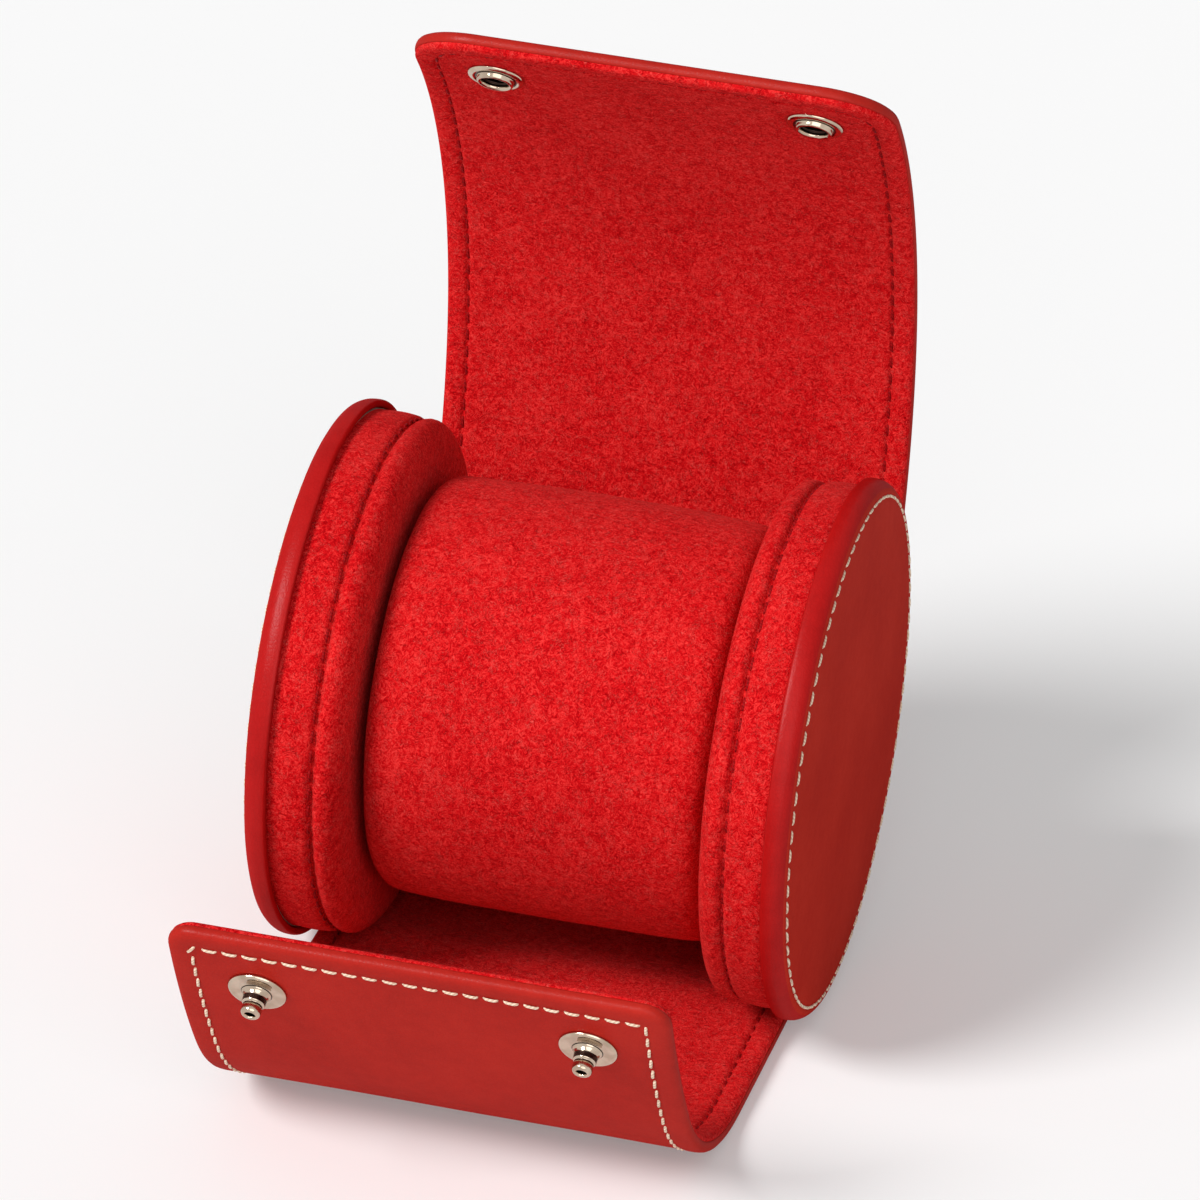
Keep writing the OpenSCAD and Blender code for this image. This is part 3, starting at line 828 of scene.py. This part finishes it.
# A cap's outline from the middle of its face. The face's points are (distance inside the face,
# radius), the edge's (distance inside the face, distance inside the outer radius), and the rim's
# (distance from the rim, distance inside the outer radius).
CAP_FACE = [(0.02, 0.01), (0.02, 12), (0.04, 26), (0.1, 34)]
CAP_EDGE = [(0.14, 4.3), (0.2, 3.1), (0.34, 2.5), (0.34, 2.2), (0.28, 1.75), (0.55, 1.15),
            (1.15, 0.55), (1.95, 0.15), (2.8, 0.02)]
CAP_RIM = [(0.6, 0.02), (0.22, 0.12), (0.02, 0.4), (0, 0.75), (0.14, 1.05), (0.5, 1.22),
           (1.4, 1.25)]
RIM_STRETCHES = range(9, 19)      # of the cap's outline, outside its stitches, painted darker as shade

# A pad's outline from under the cap's rim. The strip's and the seam's points are (distance
# outwards from the rim or the seam, distance inside the pad's radius). The face's points are
# (distance outwards from the face, radius).
PAD_STRIP = [(1.4, 4.2), (1.2, 0.8), (0.6, 0.2), (-0.1, 0.18), (-0.7, 0.12), (-2.0, 0.05),
             (-3.4, 0.05)]
PAD_SEAM = [(1.4, 0.2), (0.7, 0.45), (0.3, 0.9), (0, 1.25), (-0.3, 0.95), (-0.75, 0.55),
            (-1.5, 0.4), (-2.4, 0.7), (-3.2, 1.45), (-3.75, 2.5)]
PAD_FACE = [(-0.2, 36.2), (-0.3, 33), (-0.15, 26), (0, 14), (0, 3), (0, 0.01)]
PAD_FACE_INSET = 0.3

# Half of the pillow's outline from the middle of its end, in the cap's manner
PILLOW_FACE = [(0, 0.01), (-0.05, 8), (-0.02, 18), (0.1, 25)]
PILLOW_EDGE = [(0.25, 4.9), (0.55, 4.1), (0.3, 3.5), (0.65, 2.4), (1.5, 1.35), (2.7, 0.75),
               (4.5, 0.5), (9, 0.3), (15, 0.12), (21, 0.04)]
PILLOW_END_INSET = 0.4


def turned(name, profile, material, side, segments, shift):
    """A piece turned about the roll's axis from a profile of (x, radius).

    shift(x, radius, angle) gives small changes of x and radius.
    """
    angle = np.linspace(0, 2 * PI, segments, endpoint=False)
    x = np.tile(profile[:, :1], (1, segments))
    radius = np.tile(profile[:, 1:], (1, segments))
    add_x, add_radius = shift(x, radius, angle[None, :])
    x, radius = x + add_x, radius + add_radius
    points = np.stack([side * x, radius * np.cos(angle), AXIS_Z + radius * np.sin(angle)], -1)
    faces = grid_faces(len(profile), segments, closed=True, flip=side < 0)
    return make_mesh(name, points, faces, material, points)


def ring_row(name, side, count, material, length, radius, at_x, at_r, up):
    """A ring of stitches about the roll's axis. up is (x, radius), the way they stand out."""
    shape, faces = stitch_shape(length, radius)
    angle = (np.arange(count) + 0.5) * 2 * PI / count
    up = np.array(up) / np.hypot(*up)
    x = at_x + shape[:, 2] * up[0] + shape[:, 1] * up[1]
    r = at_r + shape[:, 2] * up[1] - shape[:, 1] * up[0]
    turn = angle[:, None] + shape[None, :, 0] / at_r
    x = np.tile(side * x, (count, 1))
    points = np.stack([x, r * np.cos(turn), AXIS_Z + r * np.sin(turn)], -1)
    faces = repeat_faces(faces, len(shape), count, flip=side > 0)
    return make_mesh(name, points, faces, material, points)


def pad_shift(seed):
    """The give of a hand-covered pad: slow swells, and a pull at each stitch of its seam."""
    def shift(x, radius, angle):
        outside = radius > 35
        swell = 0.04 * wobble(np.cos(angle) * 40 + x, np.sin(angle) * 40, 24, seed)
        near_seam = bell(x, SEAM_X, 0.55) * outside
        beside_seam = bell(x, SEAM_X, 1.6) * outside
        pull = 0.5 + 0.5 * np.cos(angle * PAD_STITCHES)
        add_radius = -0.22 * near_seam * pull - 0.07 * beside_seam * pull
        outer = np.clip(radius / 36, 0, 1) ** 4
        add_x = 0.08 * wobble(x, angle * PAD_R, 30, seed + 1) * (1 - outer)
        return add_x, add_radius + swell * outer
    return shift


def make_pad(name, side, suede, seed):
    """A pad covered in suede: a strip round its edge, sewn to the facing."""
    face_x = PAD_X + PAD_FACE_INSET
    points = [(RIM_X + x, PAD_R - sink) for x, sink in PAD_STRIP]
    points += [(SEAM_X + x, PAD_R - sink) for x, sink in PAD_SEAM]
    points += [(face_x + x, radius) for x, radius in PAD_FACE]
    pad = turned(f"{name}_pad", smooth_profile(points, PROFILE_STEPS), suede, side,
                 PAD_STITCHES * POINTS_PER_STITCH, pad_shift(seed))
    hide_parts(f"{name}_pad_strip", f"{name}_pad_facing")
    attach(pad, "roll")


def make_cap(name, side, leather, shaded_rim_leather):
    """A cap of leather drawn over a board, with its edge turned round the pad."""
    def ripple(x, radius, angle):
        return 0.03 * wobble(radius * np.cos(angle), radius * np.sin(angle), 22, 23 + side), 0

    points = [(CAP_X - sink, radius) for sink, radius in CAP_FACE]
    points += [(CAP_X - sink, CAP_R - inside) for sink, inside in CAP_EDGE]
    points += [(RIM_X + x, CAP_R - inside) for x, inside in CAP_RIM]
    cap = turned(f"{name}_cap", smooth_profile(points, PROFILE_STEPS), leather, side,
                 CAP_SEGMENTS, ripple)
    cap.data.flip_normals()
    # The rim gets the darker leather, painted as shade
    paint_stretches(cap, shaded_rim_leather, RIM_STRETCHES, CAP_SEGMENTS, PROFILE_STEPS)
    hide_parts(f"{name}_cap_leather")
    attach(cap, "roll")


def make_end_stitches(name, side, pale_thread, red_thread):
    """The row on the cap's face and the row along the pad's seam."""
    stitches = ring_row(f"{name}_cap_stitches", side, CAP_STITCHES, pale_thread,
                        length=2.4, radius=0.23, at_x=CAP_X - 0.3, at_r=CAP_R - 2.35,
                        up=(1, 0.15))
    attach(stitches, "roll")
    seam = ring_row(f"{name}_pad_stitches", side, PAD_STITCHES, red_thread,
                    length=2.1, radius=0.24, at_x=SEAM_X + 0.32, at_r=PAD_R - 0.85,
                    up=(0.35, 1))
    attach(seam, "roll")


def make_pillow(suede):
    """The soft pillow, with faint puckers where its cover is gathered at both ends."""
    def give(x, radius, angle):
        body = np.clip((radius - 27) / 4, 0, 1)
        pucker = bell(np.abs(x), 24, 3.5) * np.sin(angle * 23 + 1.3 * np.sin(angle * 5))
        swell = wobble(x, np.cos(angle) * 32 + np.sin(angle) * 20, 26, 31)
        return (0.05 * wobble(radius, angle * 20, 18, 33),
                body * (0.1 * swell + 0.05 * pucker))

    end_x = PILLOW_X - PILLOW_END_INSET
    half = [(end_x - sink, radius) for sink, radius in PILLOW_FACE]
    half += [(end_x - sink, PILLOW_R - inside) for sink, inside in PILLOW_EDGE]
    mirrored = [(-x, radius) for x, radius in half]
    profile = smooth_profile(mirrored + [(0, PILLOW_R)] + half[::-1], PROFILE_STEPS)
    pillow = turned("pillow", profile, suede, 1, PILLOW_SEGMENTS, give)
    pillow.data.flip_normals()
    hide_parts("pillow_cover", "pillow_ends")
    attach(pillow, "pillow")


# ---------------------------------------------------------------- press studs

SNAP_SEGMENTS = 48
SNAP_STEPS = 3
SNAP_HOLE_R = 3.0         # in the lining, under a socket

# Outlines as (radius, height above the face that they stand on)
SOCKET = [(4.4, -0.05), (4.42, 0.16), (4.3, 0.4), (4.0, 0.56), (3.55, 0.58), (3.3, 0.5),
          (3.12, 0.46), (2.98, 0.56), (2.9, 0.85), (2.82, 1.12), (2.62, 1.28), (2.4, 1.26),
          (2.2, 1.1), (2.1, 0.8), (2.1, 0.4), (1.95, 0.2), (1.95, -2.35), (0.01, -2.4)]
STUD = [(4.4, -0.05), (4.42, 0.16), (4.3, 0.4), (4.0, 0.54), (3.3, 0.5), (2.6, 0.46),
        (2.36, 0.5), (2.24, 0.62), (2.14, 0.76), (1.98, 0.92), (1.88, 1.15), (1.78, 1.45),
        (1.74, 1.9), (1.72, 2.3), (1.6, 2.46), (1.46, 2.6), (1.44, 2.85), (1.5, 3.05),
        (1.52, 3.5), (1.46, 3.92), (1.28, 4.2), (1.05, 4.3), (0.86, 4.24), (0.74, 4.0),
        (0.7, 3.6), (0.68, 3.0), (0.01, 2.95)]
LID_CAP = [(4.7, -0.1), (4.8, 0.1), (4.78, 0.32), (4.6, 0.56), (4.1, 0.78), (3.2, 0.94),
           (2.0, 1.03), (1.0, 1.07), (0.01, 1.08)]
EYELET = [(3.75, -0.08), (3.8, 0.1), (3.7, 0.3), (3.35, 0.46), (2.8, 0.5), (2.2, 0.44),
          (1.6, 0.36), (1.3, 0.26), (1.2, 0.16), (0.01, 0.15)]

# The stretches of those outlines painted in dark metal as shade: grooves, necks and holes
SOCKET_PAINTED_SHADE = (5, 6, 13, 14, 15, 16)
STUD_PAINTED_SHADE = (6, 11, 12, 15, 23, 24, 25)
EYELET_PAINTED_SHADE = (7, 8)

# A fitting, with its distance s along the wrap, its depth there and the way it stands out
Fitting = namedtuple("Fitting", "name profile tarnish s depth outward body node")
LID_SNAP_S = PATH.length - SNAP_EDGE
FITTINGS = [
    Fitting("socket", SOCKET, SOCKET_PAINTED_SHADE, LID_SNAP_S, -0.1, -1, "lid_5", "lid_sockets"),
    Fitting("lid_cap", LID_CAP, (), LID_SNAP_S, WRAP_T, 1, "lid_5", "lid_snap_caps"),
    Fitting("stud", STUD, STUD_PAINTED_SHADE, SNAP_EDGE, WRAP_T, 1, "flap_5", "flap_studs"),
    Fitting("eyelet", EYELET, EYELET_PAINTED_SHADE, SNAP_EDGE, -0.05, -1, "flap_5", "flap_eyelets"),
]


def make_fitting(half, at_x, fitting, nickel, painted_shade_nickel):
    """A turned fitting on one half of the wrap, on its outer face or on its lining."""
    profile = smooth_profile(fitting.profile, SNAP_STEPS)
    angle = np.linspace(0, 2 * PI, SNAP_SEGMENTS, endpoint=False)
    low, high = PATH.place([0, 0], [fitting.s - 0.5, fitting.s + 0.5], fitting.depth)
    foot = PATH.place(at_x, fitting.s, fitting.depth)
    across = np.array([1.0, 0, 0])
    along = (high - low) / np.linalg.norm(high - low)
    up = fitting.outward * np.cross(along, across)
    turned_x = profile[:, :1] * np.cos(angle)
    turned_s = profile[:, :1] * np.sin(angle)
    height = np.broadcast_to(profile[:, 1:], turned_x.shape)
    points = (foot + turned_x[..., None] * across + turned_s[..., None] * along
              + height[..., None] * up)
    grain = np.stack([turned_x + at_x, turned_s + fitting.s, height], -1)
    faces = grid_faces(len(profile), SNAP_SEGMENTS, closed=True, flip=fitting.outward > 0)
    obj = make_mesh(f"{half}_{fitting.name}", points, faces, nickel, grain)
    # Paints the grooves, necks and holes in dark metal, as shade
    paint_stretches(obj, painted_shade_nickel, fitting.tarnish, SNAP_SEGMENTS, SNAP_STEPS)
    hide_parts(fitting.node)
    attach(obj, fitting.body)


# ---------------------------------------------------------------- the whole roll

def make_wrap(looks):
    """The wrap's pieces, one for each of its bodies, and the stitches on each."""
    snap_holes = [(x, LID_SNAP_S, SNAP_HOLE_R) for x in (-SNAP_X, SNAP_X)]
    for index, body in enumerate(BODIES):
        number = index + 1
        part, _, place = body.partition("_")
        stem = "back" if body == "roll" else part
        suffix = f"_{place}" if place else ""
        holes = snap_holes if body == "lid_5" else []
        leather_piece = make_panel(f"wrap_leather_{number}", index, LEATHER, looks["leather"], [])
        lining_piece = make_panel(f"wrap_lining_{number}", index, LINING, looks["suede"], holes)
        for piece, node, slot in ((leather_piece, f"{stem}_leather{suffix}", "leather"),
                                  (lining_piece, f"{stem}_lining{suffix}", "suede")):
            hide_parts(node)
        make_row(f"outer_stitches_{number}", index, OUTER_ROW, looks["pale_thread"])
        make_row(f"inner_stitches_{number}", index, INNER_ROW, looks["red_thread"])


def make_ends(looks):
    """Both ends of the roll: a pad, the cap over it and their stitches."""
    for name, side, seed in (("left", -1, 17), ("right", 1, 11)):
        make_pad(name, side, looks["suede"], seed)
        make_cap(name, side, looks["cap_leather"], looks["shaded_rim_leather"])
        make_end_stitches(name, side, looks["pale_thread"], looks["red_thread"])


def make_snaps(looks):
    """The four fittings of each half of the wrap."""
    for half, x in (("left", -SNAP_X), ("right", SNAP_X)):
        for fitting in FITTINGS:
            make_fitting(half, x, fitting, looks["nickel"], looks["painted_shade_nickel"])


def dress_inner_nodes():
    """The boards and foams inside the roll keep their CAD shapes and get a material each."""
    board = fibre_material("board", rgb(150, 140, 126), rgb(120, 112, 100), scale=2500)
    foam = fibre_material("foam", rgb(236, 232, 216), rgb(214, 208, 190), scale=1200)
    for name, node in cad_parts.items():
        for word, material in (("board", board), ("foam", foam)):
            if word in name:
                node.data.materials.clear()
                node.data.materials.append(material)


make_camera()
make_world()
make_floor()
make_suns()
looks = make_materials()
make_wrap(looks)
make_ends(looks)
make_pillow(looks["suede"])
make_snaps(looks)
dress_inner_nodes()
bpy.context.scene.view_settings.view_transform = "Standard"
